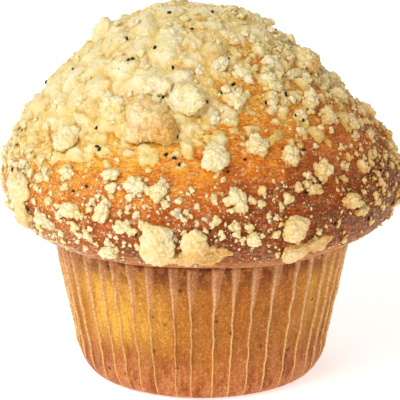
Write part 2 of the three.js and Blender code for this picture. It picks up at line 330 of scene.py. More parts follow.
def bumped(tree, shader, height, depth, normal=None):
    """Feeds the shader a bump from a height of 0 to 1 that stands for depth mm."""
    inputs = {"Height": height, "Distance": depth * MM, "Strength": 1.0}
    if normal is not None:
        inputs["Normal"] = normal
    made = add(tree, "ShaderNodeBump", inputs)
    tree.links.new(made.outputs[0], shader.inputs["Normal"])
    return made.outputs[0]


points = read_points(paper_case.data)
azimuth = azimuth_of(points)
height = points[:, 2]
# Painted light: the soaked paper's golden patch at the front left is brightest where the key light falls, and
# half as bright in the lip's shadow near the rim.
key_lit_glow = 0.88 * np.exp(-(((azimuth + 39) / 20) ** 2)) * smooth(7, 17, height)
key_lit_glow = key_lit_glow * (1 - 0.5 * smooth(25, 31, height))
right_glow = 0.5 * np.exp(-(((azimuth - 58) / 14) ** 2)) * smooth(8, 18, height)
back_glow = 0.35 + 0.3 * np.cos(np.radians(azimuth * 3 + 40))
back_glow = back_glow * smooth(7, 17, height) * (np.abs(azimuth) > 75)
mark(paper_case.data, "golden", np.maximum(np.maximum(key_lit_glow, right_glow), back_glow))

paper, tree, shader = new_material("greaseproof_paper")
where = object_place(tree)
tall = add(tree, "ShaderNodeMapping", {"Vector": where, "Scale": (1.0, 1.0, 0.22)}).outputs[0]
up = add(tree, "ShaderNodeSeparateXYZ", {0: where}).outputs[2]
patchy = noise_at(tree, tall, 2.6, 4.0, 0.6)
fine = noise_at(tree, where, 0.5, 4.0, 0.7)
glow = maths(tree, attribute(tree, "golden"), ranged(tree, patchy, 0.32, 0.62, 0.35, 1.2))
valley = blend(tree, ranged(tree, patchy, 0.3, 0.7), tint("94470F"), tint("C27624"))
panels = add(tree, "ShaderNodeMapping", {"Vector": where, "Scale": (1.0, 1.0, 0.12)}).outputs[0]
soaked = ranged(tree, noise_at(tree, panels, 4.2, 2.0), 0.44, 0.58, 0.0, 0.55)
valley = blend(tree, soaked, valley, tint("A86D28"))
# The soaked paper's golden colour, painted brighter at the front left where the key light falls: painted
# light.
valley = blend(tree, glow, valley, tint("F3BC48"))
dry = ranged(tree, noise_at(tree, where, 5.0, 4.0, 0.65), 0.52, 0.62, 0.0, 0.5)
valley = blend(tree, maths(tree, dry, ranged(tree, up, 0.019, 0.009)), valley, tint("C07A4C"))
foot = ranged(tree, maths(tree, up, ranged(tree, patchy, 0.3, 0.7, -0.003, 0.003), "ADD"), 0.0105, 0.0045)
mottle = ranged(tree, noise_at(tree, tall, 2.2, 4.0, 0.7), 0.42, 0.58)
foot_colour = blend(tree, mottle, tint("C87E4A"), tint("924016"))
valley = blend(tree, maths(tree, foot, 0.9), valley, foot_colour)
# Painted shadow: red-brown blotches under the cap's overhang, partly the darker baked cake behind the paper
# and partly the overhang's shadow.
blotches = ranged(tree, noise_at(tree, where, 2.6, 3.0), 0.4, 0.5)
under_lip_shadow = maths(tree, ranged(tree, up, 0.0245, 0.0298), blotches)
valley = blend(tree, maths(tree, under_lip_shadow, 0.95), valley, tint("641E0A"))
seen_seeds = specks(tree, where, 2.8, 0.55, 0.42)
valley = blend(tree, maths(tree, seen_seeds, 0.95), valley, tint("241A17"))
faint_seeds = specks(tree, where, 2.1, 0.5, 0.34)
valley = blend(tree, maths(tree, faint_seeds, 0.4), valley, tint("5A3F2C"))
ridge = attribute(tree, "fold")
strip = blend(tree, ranged(tree, up, 0.012, 0.027), tint("DB9A52"), tint("CE8E60"))
# The laps and folds also darken under the overhang: painted shadow.
strip = blend(tree, maths(tree, under_lip_shadow, 0.35), strip, tint("8E4A30"))
doubled = maths(tree, attribute(tree, "lap"), ranged(tree, patchy, 0.3, 0.6, 0.6, 0.95))
colour = blend(tree, doubled, valley, strip)
colour = blend(tree, ranged(tree, ridge, 0.1, 0.6), colour, strip)
# Painted highlight: pale lines along the fold crests where they catch the light, fading at the foot and in the
# lip's shadow near the rim.
crest_highlight = maths(tree, ranged(tree, ridge, 0.3, 0.8), ranged(tree, up, 0.001, 0.007, 0.25, 0.9))
crest_highlight = maths(tree, crest_highlight, ranged(tree, up, 0.022, 0.031, 1.0, 0.3))
crest_highlight = maths(tree, crest_highlight, ranged(tree, fine, 0.66, 0.4, 0.45, 1.0))
colour = blend(tree, crest_highlight, colour, tint("F6D698"))
colour = blend(tree, ranged(tree, fine, 0.42, 0.66, 0.0, 0.46), colour, tint("864014"))
colour = blend(tree, ranged(tree, fine, 0.48, 0.32, 0.0, 0.36), colour, tint("F0BE7A"))
tree.links.new(colour, shader.inputs["Base Color"])
shader.inputs["Roughness"].default_value = 0.5
shader.inputs["Specular IOR Level"].default_value = 0.3
shader.inputs["Specular Tint"].default_value = tint("FFDDB0")
bumped(tree, shader, grain(tree, tall, 0.5, 0.3), 0.1)
paper_case.data.materials.append(paper)
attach(paper_case, "root")
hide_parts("paper_case")


# The cake
# A lemon and poppy seed batter that filled the case, rose over its rim and spread into a domed cap. The
# crust is thin and buttery, golden at the front left and red-brown on the right and low on the lip.
CAP_MIDDLE = 36
CAP_LEAN = -0.06
CAP_UPRIGHT = 38
OUT_OF_ROUND = [(2, 0.01, 3.8), (3, 0.006, 1.1), (5, 0.004, -2.2)]
LIP_SAG = 0.18
CAKE_GAP = 0.35
CRUST_COLUMNS = 100
CRUST_ROWS = 40
CAP_PROFILE = [
    (30.5, 31.5), (31.1, 31.7), (33.4, 31.9), (35.8, 32.5), (38.4, 33.9), (40.4, 36.2), (41.9, 39.2),
    (42.4, 42.3), (41.6, 45.8), (39.3, 50.0), (36.2, 54.0), (32.8, 57.8), (29.3, 61.4), (25.7, 65.0),
    (22.2, 68.3), (18.6, 71.2), (14.6, 73.5), (10.2, 75.3), (5.4, 76.3), (0.0, 76.6),
]


def curve_value(before, start, end, after, share):
    """The value at a share of the way from start to end, on a smooth curve through all four."""
    slope = end - before
    bend = 2 * before - 5 * start + 4 * end - after
    twist = 3 * start - before - 3 * end + after
    return 0.5 * (2 * start + slope * share + bend * share**2 + twist * share**3)


def even_curve(stations, count):
    """Points evenly spaced along a smooth curve through the stations."""
    fine = []
    padded = [stations[0]] + list(stations) + [stations[-1]]
    for four in zip(padded, padded[1:], padded[2:], padded[3:]):
        for share in np.linspace(0, 1, 24, endpoint=False):
            fine.append([curve_value(*values, share) for values in zip(*four)])
    fine = np.array(fine + [list(stations[-1])])
    along = np.concatenate([[0], np.cumsum(np.hypot(*np.diff(fine, axis=0).T))])
    stops = np.linspace(0, along[-1], count)
    return list(zip(np.interp(stops, along, fine[:, 0]), np.interp(stops, along, fine[:, 1])))


def cap_shaped(points):
    """The round form made a little uneven: out of round, sagging at the lip and leaning left as it rises."""
    turned = np.arctan2(points[:, 0], -points[:, 1])
    radius = np.hypot(points[:, 0], points[:, 1])
    height = points[:, 2].copy()
    spread = smooth(32, 37, height)
    bulge = sum(depth * np.cos(count * turned + turn) for count, depth, turn in OUT_OF_ROUND)
    near_lip = smooth(31.8, 32.4, height) * (1 - smooth(34, 40, height))
    sag = LIP_SAG * near_lip * (np.cos(4 * turned + 1) + np.cos(7 * turned))
    radius = radius * (1 + bulge * spread)
    shift = CAP_LEAN * (height - CAP_UPRIGHT) * spread
    return np.stack([radius * np.sin(turned) + shift, -radius * np.cos(turned), height + sag], axis=1)


def rounded(form, levels):
    """Subdivides a form smoothly and applies it."""
    bpy.context.view_layer.objects.active = form
    smoothing = form.modifiers.new("rounding", "SUBSURF")
    smoothing.levels = levels
    smoothing.render_levels = levels
    bpy.ops.object.modifier_apply(modifier=smoothing.name)


def unevenness(points, size, shift=0.0):
    """Soft noise from about -1 to 1 with features about size mm across."""
    return np.array([noise.noise(Vector(p)) for p in points / size + shift])


def stirred(points, amount, size, shifts=(11.0, 23.0, 37.0)):
    """The points moved about by soft noise, up to about amount mm each way."""
    return points + amount * np.stack([unevenness(points, size, s) for s in shifts], axis=1)


def grains(points, size, shift=0.0):
    """0 in the creases and 1 on the backs of rounded grains about size mm across."""
    gaps = []
    for p in points / size + shift:
        near = noise.voronoi(Vector(p))[0]
        gaps.append(near[1] - near[0])
    return np.clip(np.array(gaps) * 1.7, 0, 1) ** 0.6


def domes(points, size, shift=0.0):
    """Puffed rounds about size mm across: 0 where they meet and 1 at their tops."""
    return np.array([max(0, 1 - 1.6 * noise.voronoi(Vector(p))[0][0] ** 2) for p in points / size + shift])


def pushed_out(mesh, lift):
    """Moves each vertex along its normal by its own lift in mm."""
    normals = np.empty(len(mesh.vertices) * 3)
    mesh.vertex_normals.foreach_get("vector", normals)
    write_points(mesh, read_points(mesh) + normals.reshape(-1, 3) * lift[:, None])


def angles_of(points):
    """Azimuth and polar angle in degrees, seen from the cap's middle."""
    out = points - np.array([0, 0, CAP_MIDDLE])
    polar = np.degrees(np.arccos(out[:, 2] / np.linalg.norm(out, axis=1)))
    return azimuth_of(points), polar


def quiet_shoulder(azimuth, polar):
    """1 on the bare glossy shoulder at the front left, 0 elsewhere."""
    across = smooth(-62, -44, azimuth) * (1 - smooth(2, 22, azimuth))
    return across * smooth(49, 55, polar) * (1 - smooth(64, 72, polar))


def risen(points):
    """How unevenly the cap rose, in mm: the bed of streusel on it follows the same swells."""
    broad = 0.34 * unevenness(points, 13.0) + 0.2 * unevenness(points, 5.0, 3.1)
    return broad + 0.1 * unevenness(points, 2.2, 7.7)


clearance = PAPER + CAKE_GAP
inside_rows = [(BASE_RADIUS - clearance, clearance)]
inside_rows += [(wall_radius(z) - clearance, z) for z in (1.2, 3, FOOT_HEIGHT, 13, 19, 25)]
cap_rows = even_curve(CAP_PROFILE[2:], CRUST_ROWS)
cap_rows[-1] = (0.25, CAP_PROFILE[-1][1])
crust = drawn_up("browned_crust", CRUST_COLUMNS, inside_rows + CAP_PROFILE[:2] + cap_rows)
rounded(crust, 2)
points = cap_shaped(read_points(crust.data))
write_points(crust.data, points)
azimuth, polar = angles_of(points)
outside = smooth(31.8, 33.5, points[:, 2])
lift = risen(points)
pitted = 0.12 * grains(points, 1.7, 2.5) * smooth(60, 74, polar)
pitted += 0.2 * unevenness(points * np.array([0.5, 0.5, 1.5]), 1.7, 8.0) * smooth(40, 55, polar)
pushed_out(crust.data, (lift + pitted - 0.05) * outside)
right_side = 0.5 + 0.5 * np.cos(np.radians(azimuth - 78))
browning = 0.02 + 0.5 * right_side * (0.55 + 0.45 * smooth(40, 62, polar))
browning += 0.44 * smooth(58, 78, polar) * (0.36 + 0.64 * right_side)
browning += 0.34 * smooth(72, 86, polar) * (0.8 + 0.2 * right_side)
brown_back = np.maximum(browning, 0.42 + 0.2 * smooth(60, 85, polar))
browning = np.where(np.abs(azimuth) > 120, brown_back, browning)
browning += 0.2 * unevenness(points, 9.0, 5.0) + 0.16 * unevenness(points, 3.2, 1.0)
mark(crust.data, "browning", browning)
mark(crust.data, "lip_edge", 1 - smooth(33.2, 36.4, points[:, 2] + 0.6 * unevenness(points, 4.0, 4.0)))
dust = 0.25 + 0.75 * smooth(60, 72, polar) * (1 - 0.85 * right_side) + 0.35 * smooth(50, 90, azimuth)
mark(crust.data, "dust", dust * (1 - 0.8 * quiet_shoulder(azimuth, polar)))

crust_finish, tree, shader = new_material("buttery_crust")
where = object_place(tree)
stretched = add(tree, "ShaderNodeMapping", {"Vector": where, "Scale": (0.75, 0.75, 2.4)}).outputs[0]
baked = attribute(tree, "browning")
baked = maths(tree, baked, ranged(tree, noise_at(tree, where, 1.6, 3.0), 0.3, 0.7, -0.07, 0.07), "ADD")
ramp = add(tree, "ShaderNodeValToRGB", {0: baked})
stops = ramp.color_ramp.elements
stops[0].position, stops[0].color = 0.05, tint("FFCB58")
stops[1].position, stops[1].color = 0.99, tint("702C12")
for position, code in ((0.24, "FBAE36"), (0.42, "EE8C20"), (0.6, "C6601A"), (0.78, "97451A")):
    stop = stops.new(position)
    stop.color = tint(code)
colour = ramp.outputs[0]
ragged_edge = ranged(tree, noise_at(tree, where, 1.3, 4.0), 0.3, 0.7, 0.5, 0.95)
ragged_edge = maths(tree, attribute(tree, "lip_edge"), ragged_edge)
colour = blend(tree, ragged_edge, colour, tint("C98A56"))
wrinkles = noise_at(tree, stretched, 2.4, 6.0, 0.62)
# Painted shade: darker orange-brown in the hollows of the wrinkles that the bump below raises.
colour = blend(tree, ranged(tree, wrinkles, 0.47, 0.41, 0.0, 0.7), colour, tint("C0540C"))
dusting = attribute(tree, "dust")
skin = noise_at(tree, stretched, 1.8, 4.0, 0.62)
off_middle = maths(tree, maths(tree, skin, 0.5, "SUBTRACT"), 0.0, "ABSOLUTE")
lines = ranged(tree, off_middle, 0.045, 0.0)
colour = blend(tree, maths(tree, lines, ranged(tree, wrinkles, 0.4, 0.6, 0.15, 0.7)), colour, tint("A8480E"))
broken = ranged(tree, noise_at(tree, where, 0.6, 3.0, 0.7), 0.48, 0.56)
glints = maths(tree, ranged(tree, skin, 0.53, 0.62), broken)
pale_lot = ranged(tree, baked, 0.3, 0.75, 0.66, 0.24)
colour = blend(tree, maths(tree, glints, pale_lot), colour, tint("FFE8BC"))
crackle = noise_at(tree, where, 0.6, 3.0, 0.65)
pale = ranged(tree, baked, 0.3, 0.75, 1.0, 0.3)
# Painted sparkle and shade: paler on the tops of the fine crackle bump, less so on browner crust, and darker
# in its pits.
colour = blend(tree, maths(tree, ranged(tree, crackle, 0.5, 0.62, 0.0, 0.34), pale), colour, tint("FFD480"))
colour = blend(tree, ranged(tree, crackle, 0.48, 0.36, 0.0, 0.3), colour, tint("A84A0C"))
tiny = maths(tree, specks(tree, where, 0.8, 0.4, 0.55), dusting)
colour = blend(tree, maths(tree, tiny, 0.42), colour, tint("F0CC9A"))
tree.links.new(colour, shader.inputs["Base Color"])
rough = ranged(tree, noise_at(tree, where, 0.9, 4.0), 0.35, 0.7, 0.1, 0.32)
rough = maths(tree, rough, ranged(tree, baked, 0.5, 0.85, 0.0, 0.25), "ADD")
tree.links.new(rough, shader.inputs["Roughness"])
shader.inputs["Specular IOR Level"].default_value = 0.36
shader.inputs["Specular Tint"].default_value = tint("FFD9A0")
shader.inputs["Subsurface Weight"].default_value = 0.15
shader.inputs["Subsurface Radius"].default_value = (1.0, 0.4, 0.12)
shader.inputs["Subsurface Scale"].default_value = 0.0015
first = bumped(tree, shader, wrinkles, 0.8)
second = bumped(tree, shader, skin, 0.45, first)
bumped(tree, shader, crackle, 0.16, second)
crust.data.materials.append(crust_finish)
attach(crust, "root")
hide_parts("muffin_cake")


# The streusel bed
# Flour, sugar and butter rubbed to crumbs and strewed over the batter. Over the crown it baked together into
# soft pale blobs, their creases and low parts painted golden as shade, and it thins out in patches down the
# sides.
BED_LOW = 44.5
BED_COLUMNS = 116
BED_ROWS = 68
MOST_CLUMPS = 0.72


def bed_cover(azimuth, polar):
    """Share of the crust that the bed hides: nearly all over the crown, in patches lower down."""
    edge = 53 + 11 * np.cos(np.radians(azimuth + 92))
    edge += 7 * np.exp(-(((azimuth - 75) / 40) ** 2))
    return 1 - smooth(edge - 17, edge + 11, polar)


def clumps(points, size, shift, share_at):
    """Rounded clumps about size mm across: -1 off them, and from 0 at a clump's edge to about 1 at its top."""
    gaps, seeds = [], []
    for p in points / size + shift:
        near, corners = noise.voronoi(Vector(p))
        gaps.append(near[1] - near[0])
        seeds.append(corners[0][:])
    seeds = np.array(seeds)
    lot = np.modf(np.abs(np.sin(seeds @ np.array([12.99, 78.23, 37.72])) * 437.5))[0]
    there = lot < share_at(*angles_of((seeds - shift) * size))
    return np.where(there, np.clip(np.array(gaps) * 1.5, 0, 1) ** 0.65 * (0.75 + 0.4 * lot), -1)


def granular_share(azimuth, polar):
    """1 where the streusel lies as loose grains, at the right of the crown, and 0 where it melted."""
    return smooth(-25, 35, azimuth) * (1 - smooth(130, 160, azimuth)) * smooth(14, 32, polar)


def clump_share(azimuth, polar):
    most = MOST_CLUMPS - 0.26 * granular_share(azimuth, polar)
    return np.clip(1.2 * bed_cover(azimuth, polar - 5), 0, most)


bed_rows = [(r, z) for r, z in even_curve(CAP_PROFILE[2:], BED_ROWS) if z > BED_LOW]
bed_rows[-1] = (0.25, CAP_PROFILE[-1][1])
bed = drawn_up("streusel_bed", BED_COLUMNS, bed_rows)
rounded(bed, 2)
points = cap_shaped(read_points(bed.data))
write_points(bed.data, points)
azimuth, polar = angles_of(points)
lift = risen(points)
warped = stirred(points, 1.1, 2.6)
blobs = domes(warped, 6.0, 1.3)
seams = grains(warped, 6.0, 1.3)
knobs = domes(warped, 2.5, 4.2)
knob_seams = grains(warped, 2.5, 4.2)
fine_knobs = domes(points + 0.25 * unevenness(points, 0.8, 3.0)[:, None], 0.95, 8.4)
granular = granular_share(azimuth, polar)
cover = bed_cover(azimuth, polar) * (1 - 0.74 * granular)
cover += 0.34 * unevenness(points, 5.0, 6.0) + 0.14 * unevenness(points, 2.0, 9.0)
relief = (1.1 * blobs + 0.45 * seams) * (1 - 0.5 * granular)
relief = relief + (0.42 + 0.3 * granular) * knobs + (0.16 + 0.2 * granular) * fine_knobs
sheet = lerp(-1.5, 0.3 - 0.2 * granular, smooth(0.38, 0.66, cover)) + relief * smooth(0.45, 0.85, cover)
ragged = stirred(points, 0.5, 1.3, (5.0, 17.0, 29.0))
large = clumps(ragged, 3.3, 2.7, clump_share)
small = clumps(ragged, 1.9, 7.1, clump_share)
heap = np.maximum(np.where(large < 0, -1.5, 2.0 * large - 0.6), np.where(small < 0, -1.5, 1.5 * small - 0.6))
heap = np.where(heap > 0, heap * (0.6 + 0.4 * granular), heap)
edge_dive = smooth(BED_LOW + 0.5, BED_LOW + 3, points[:, 2])
grit = 0.14 * unevenness(points, 0.55, 12.0)
thick = np.maximum(sheet, heap + 0.35 * fine_knobs) + grit
pushed_out(bed.data, np.where(edge_dive > 0, lift + lerp(-1.6, thick, edge_dive), -1.6))
crease = 1 - (0.2 + 0.8 * seams) * (0.7 + 0.3 * knob_seams) * (0.85 + 0.15 * fine_knobs)
mark(bed.data, "rise", np.clip((thick + 0.1) / 1.8, 0, 1))
crease = np.where(heap > sheet, np.clip(0.95 - 0.85 * np.maximum(large, small), 0, 1), crease)
heaped = smooth(-0.2, 0.4, heap - sheet)
between = 0.72 * granular * (1 - heaped)
mark(bed.data, "crease", np.clip(np.maximum(crease * 1.1, between), 0, 1))
toasted = 0.45 * granular * smooth(0.0, 0.3, unevenness(points, 2.6, 15.0))
toasted = toasted + 0.04 + 0.72 * granular * (1 - heaped) + 0.2 * unevenness(points, 8.0, 2.2)
mark(bed.data, "toast_and_shade", np.clip(toasted, 0, 1))

streusel, tree, shader = new_material("baked_streusel")
where = object_place(tree)
rise = attribute(tree, "rise")
crease = attribute(tree, "crease")
toast_and_shade = attribute(tree, "toast_and_shade")
mellow = ranged(tree, noise_at(tree, where, 3.6, 4.0), 0.36, 0.66)
colour = blend(tree, mellow, tint("F7EFD4"), tint("EDE0A8"))
# Painted shade: warm golden yellow on the low parts of the bed, the lumps and the crumbs, and in the creases
# between their blobs and grains.
sunk = ranged(tree, rise, 0.6, 0.05)
colour = blend(tree, maths(tree, sunk, 0.7), colour, tint("E4C162"))
folds = maths(tree, crease, ranged(tree, noise_at(tree, where, 2.4, 3.0), 0.3, 0.7, 0.6, 1.2))
colour = blend(tree, ranged(tree, folds, 0.2, 0.75, 0.0, 0.8), colour, tint("E7C96C"))
here_and_there = ranged(tree, noise_at(tree, where, 4.0, 2.0), 0.53, 0.6)
spots = maths(tree, ranged(tree, folds, 0.45, 0.75), here_and_there)
colour = blend(tree, maths(tree, spots, 0.75), colour, tint("D0922C"))
browned = ranged(tree, noise_at(tree, where, 3.0, 4.0), 0.34, 0.56, 0.3, 1.0)
# Toasted golden brown; on the lumps it also grows towards their lower right as painted shade.
colour = blend(tree, maths(tree, toast_and_shade, browned), colour, tint("E2B24C"))
colour = blend(tree, ranged(tree, toast_and_shade, 0.4, 0.8, 0.0, 0.75), colour, tint("D39540"))
sugar = grain(tree, where, 0.5, 0.55)
# Painted shade and highlight: yellower in the pits between the sugar grains and near white on their backs.
colour = blend(tree, ranged(tree, sugar, 0.6, 0.42, 0.0, 0.3), colour, tint("E9CE7C"))
colour = blend(tree, ranged(tree, sugar, 0.7, 0.86, 0.0, 0.6), colour, tint("FFF6E2"))
# Painted highlight: near-white sparkles where sugar crystals catch the light.
crystal_sparkle = specks(tree, where, 0.62, 0.2, 0.3)
colour = blend(tree, maths(tree, crystal_sparkle, 0.7), colour, tint("FFFDF2"))
# Darker and browner towards the right and lower down, less on the tops: partly toasting, partly painted shade.
sides = add(tree, "ShaderNodeSeparateXYZ", {0: where}).outputs
toasted_and_shaded_side = maths(tree, ranged(tree, sides[0], -0.004, 0.03), ranged(tree, sides[2], 0.068, 0.05))
toasted_and_shaded_side = maths(tree, toasted_and_shaded_side, ranged(tree, rise, 0.85, 0.3, 0.45, 1.0))
colour = blend(tree, toasted_and_shaded_side, colour, tint("EDCA8C"), "MULTIPLY")
tree.links.new(colour, shader.inputs["Base Color"])
shader.inputs["Roughness"].default_value = 0.5
shader.inputs["Specular IOR Level"].default_value = 0.45
shader.inputs["Subsurface Weight"].default_value = 0.6
shader.inputs["Subsurface Radius"].default_value = (0.7, 0.66, 0.55)
shader.inputs["Subsurface Scale"].default_value = 0.001
bumped(tree, shader, sugar, 0.24)
bed.data.materials.append(streusel)
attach(bed, "root")
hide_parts("muffin_cake")


# The streusel lumps
# The larger pieces, squeezed together by hand before baking. Each is soft and rounded, crumbly on its
# surface, darker low on its right, partly toasted and partly painted shade, and sunk a little into the crust
# that rose round it.
LUMP_GRAIN = 0.22
SPIKE_RISE = 1.7
SPIKE_WIDTH = 1.5
# How toasted each lump is; the same amount sets the painted shade on its lower right.
PLAIN_TOAST_AND_SHADE = 0.25
LUMP_TOAST_AND_SHADE = {
    "lump_front": 0.75, "lump_lip_right": 0.5, "lump_shoulder": 1.0, "lump_left": 0.6, "lump_right": 0.9,
    "lump_front_right": 0.5, "lump_crown": 0.7, "lump_spike": 0.5, "lump_upper": 0.4,
}


def triangles_of(mesh):
    mesh.calc_loop_triangles()
    corners = np.empty(len(mesh.loop_triangles) * 3, dtype=int)
    mesh.loop_triangles.foreach_get("vertices", corners)
    return corners.reshape(-1, 3)


def surface_of(mesh):
    """The mesh in mm as a surface, to find what is nearest on it or where a line meets it."""
    return BVHTree.FromPolygons([Vector(p) for p in read_points(mesh)], triangles_of(mesh).tolist())


crust_surface = surface_of(crust.data)
bed_surface = surface_of(bed.data)

for name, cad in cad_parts.items():
    if not name.startswith("lump_"):
        continue
    bpy.ops.object.select_all(action="DESELECT")
    mesh = cad.data.copy()
    lump = bpy.data.objects.new("streusel_" + name, mesh)
    mesh.name = lump.name
    bpy.context.scene.collection.objects.link(lump)
    lump.select_set(True)
    bpy.context.view_layer.objects.active = lump
    mesh.materials.clear()
    bpy.ops.object.mode_set(mode="EDIT")
    bpy.ops.mesh.select_all(action="SELECT")
    bpy.ops.mesh.remove_doubles(threshold=0.00002)
    bpy.ops.object.mode_set(mode="OBJECT")
    solid = lump.modifiers.new("solid", "REMESH")
    solid.mode = "VOXEL"
    solid.voxel_size = LUMP_GRAIN * MM
    bpy.ops.object.modifier_apply(modifier=solid.name)
    soften = lump.modifiers.new("soften", "SMOOTH")
    soften.factor = 0.5
    soften.iterations = 14
    bpy.ops.object.modifier_apply(modifier=soften.name)
    mesh = lump.data
    points = read_points(mesh)
    nearest = [crust_surface.find_nearest(Vector(p)) for p in points]
    heights = np.array([(Vector(p) - hit[0]).dot(hit[1]) for p, hit in zip(points, nearest)])
    away = np.array([hit[1][:] for hit in nearest])
    sink = 1.0 * (1 - smooth(-0.2, 0.6, heights))
    warped = stirred(points, 0.7, 2.2)
    knobs = domes(warped, 2.2, 4.2)
    fine_knobs = domes(points + 0.3 * unevenness(points, 0.7, 3.0)[:, None], 0.85, 8.4)
    lift = 0.55 * unevenness(points, 2.6, 5.0) + 0.55 * (knobs - 0.6) + 0.45 * (fine_knobs - 0.6)
    lift += 0.16 * unevenness(points, 0.5, 9.0)
    if name == "lump_spike":
        tip = points[np.argmax(points @ np.array([-0.3, 0, 0.95]))]
        lift += SPIKE_RISE * np.exp(-((points - tip) ** 2).sum(axis=1) / SPIKE_WIDTH**2)
    pushed_out(mesh, lift)
    write_points(mesh, read_points(mesh) - away * sink[:, None])
    bpy.ops.object.shade_smooth()
    mark(mesh, "rise", np.clip(heights / 2.2, 0, 1))
    mark(mesh, "crease", 1 - (0.6 + 0.4 * smooth(0, 0.5, knobs)) * (0.85 + 0.15 * fine_knobs))
    middle = (points.min(0) + points.max(0)) / 2
    # Painted shade: each lump is coloured browner towards its lower right, the side away from the key light.
    shaded_lower_right = (points - middle) @ np.array([0.6, 0, -0.8]) / np.ptp(points, axis=0).max() * 2
    toast_and_shade_amount = LUMP_TOAST_AND_SHADE.get(name, PLAIN_TOAST_AND_SHADE) * (0.45 + 0.55 * smooth(-0.3, 0.7, shaded_lower_right))
    mark(mesh, "toast_and_shade", np.clip(toast_and_shade_amount + 0.15 * unevenness(points, 3.5, 2.0), 0, 1))
    mesh.materials.append(streusel)
    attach(lump, "root")
    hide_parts(name)


# The loose crumbs
# Streusel crumbs that fell singly. The larger ones lie where the solid cake carries them, and smaller ones
# down to coarse dust are strewn between them, thickest at the right and low on the left.
CRUMB_SITES = 620
LARGE_CRUMB = 4.0
CRUMB_SHAPES = 9
SMALL_SHAPES = 14
CRUMB_SMALLEST = 2.1
CRUMB_LARGEST = 4.5
CRUMB_LIP_SHRINK = 0.35
CRUMB_HEIGHT = 0.66
CRUMB_PROUD = 0.12
CRUMB_LOWEST = 92
SMALL_FLATNESS = 0.75
GOLDEN_ANGLE = math.degrees(math.pi * (3 - math.sqrt(5)))
PLACED_CRUMBS = [
    (-28, 68, 3.9), (-20, 70, 4.2), (-12, 71, 4.2), (-38, 79, 4.4), (-28, 78, 4.2), (-22, 81, 3.6),
    (-27, 89, 4.2), (-49, 84, 3.8), (-1, 52, 4.6), (19, 58, 4.8), (30, 62, 4.2), (39, 68, 4.7),
    (10, 73, 4.8), (14, 84, 3.6), (46, 78, 4.2), (34, 73, 3.4), (57, 71, 3.6), (22, 33, 4.6),
    (46, 30, 4.0), (36, 37, 4.6), (16, 42, 4.6), (53, 46, 4.8), (68, 59, 3.8), (-53, 49, 4.4),
    (-78, 43, 4.6), (80, 7, 4.8), (140, 12, 4.4),
]


def site_on(azimuth, polar, surfaces):
    """Where a line from the cap's middle leaves the surfaces, and the ways across, up and out there."""
    turned, down = math.radians(azimuth), math.radians(polar)
    towards = Vector((math.sin(down) * math.sin(turned), -math.sin(down) * math.cos(turned), math.cos(down)))
    best = None
    for surface in surfaces:
        start = Vector((0, 0, CAP_MIDDLE)) + towards * 80
        hit, out, _, distance = surface.ray_cast(start, -towards)
        if hit is not None and (best is None or distance < best[2]):
            best = (hit, out, distance)
    hit, out, _ = best
    across = Vector((math.cos(turned), math.sin(turned), 0))
    across = (across - out * across.dot(out)).normalized()
    return hit, across, out.cross(across), out


def even_polar(item, count, lowest):
    """The polar angle of one of count sites spread evenly from the top down to the lowest angle."""
    return math.degrees(math.acos(1 - ((item + 0.5) / count) * (1 - math.cos(math.radians(lowest)))))


def crumb_shape(number, divisions, balls):
    """A crumb about a mm across: a clump of small balls, uneven all over. The last part of it returned is
    0 in the creases and 1 on the backs of the balls."""
    bpy.ops.object.select_all(action="DESELECT")
    bpy.ops.mesh.primitive_ico_sphere_add(subdivisions=divisions, radius=1)
    form = bpy.context.object
    ways = read_points(form.data, 1)
    reaches = [np.full(len(ways), 0.26)]
    for ball in range(balls):
        item = number * 40 + ball
        down, turned = math.acos(1 - 2 * (ball + draw(item, 2)) / balls), ball * 2.4 + draw(item, 3)
        level = math.sin(down)
        centre = np.array([level * math.cos(turned), level * math.sin(turned), math.cos(down)])
        centre *= 0.2 + 0.12 * draw(item, 4)
        along = ways @ centre
        room = along**2 - centre @ centre + (0.17 + 0.1 * draw(item, 5)) ** 2
        reaches.append(np.where(room > 0, along + np.sqrt(np.maximum(room, 0)), 0))
    reaches = np.sort(np.array(reaches), axis=0)
    reach = reaches[-1]
    knobs = np.clip((reach - reaches[-2]) / 0.09, 0, 1)
    if divisions > 3:
        pits = domes(ways * reach[:, None], 0.14, number * 5.3)
        reach = reach * (0.88 + 0.2 * pits)
        knobs = knobs * (0.6 + 0.4 * pits)
    rough = 1 + 0.12 * unevenness(ways, 0.5, number * 3.7)
    reach = reach * (rough + 0.17 * unevenness(ways, 0.21, number * 1.9))
    faces = triangles_of(form.data)
    bpy.data.objects.remove(form)
    return ways * reach[:, None], faces, knobs


def strewn(name, shapes, places, finish):
    """One mesh of many pieces. A place is a shape's number, its frame, its centre and how toasted it is."""
    points, faces, rise, crease, toast_and_shade = [], [], [], [], []
    start = 0
    for number, basis, centre, toast_and_shade_amount in places:
        shape, corners, knobs = shapes[number]
        points.append(shape @ basis.T + centre)
        faces.append(corners + start)
        rise.append(np.clip(0.3 + shape[:, 2] * 1.2, 0, 1))
        crease.append(np.clip(0.75 * (1 - knobs), 0, 1))
        toast_and_shade.append(np.full(len(shape), toast_and_shade_amount))
        start += len(shape)
    mesh = bpy.data.meshes.new(name)
    mesh.from_pydata((np.concatenate(points) * MM).tolist(), [], np.concatenate(faces).tolist())
    mark(mesh, "rise", np.concatenate(rise))
    mark(mesh, "crease", np.concatenate(crease))
    mark(mesh, "toast_and_shade", np.concatenate(toast_and_shade))
    piece = bpy.data.objects.new(name, mesh)
    bpy.context.scene.collection.objects.link(piece)
    mesh.shade_smooth()
    mesh.materials.append(finish)
    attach(piece, "root")
    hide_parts("muffin_cake")


def frame_of(site, size, turn):
    """The columns that size a shape in mm and set it on a site, turned about the way out."""
    _, across, up, out = site
    turned = Matrix((across, up, out)).transposed() @ Matrix.Rotation(turn, 3, "Z")
    return np.array(turned) * np.array(size)


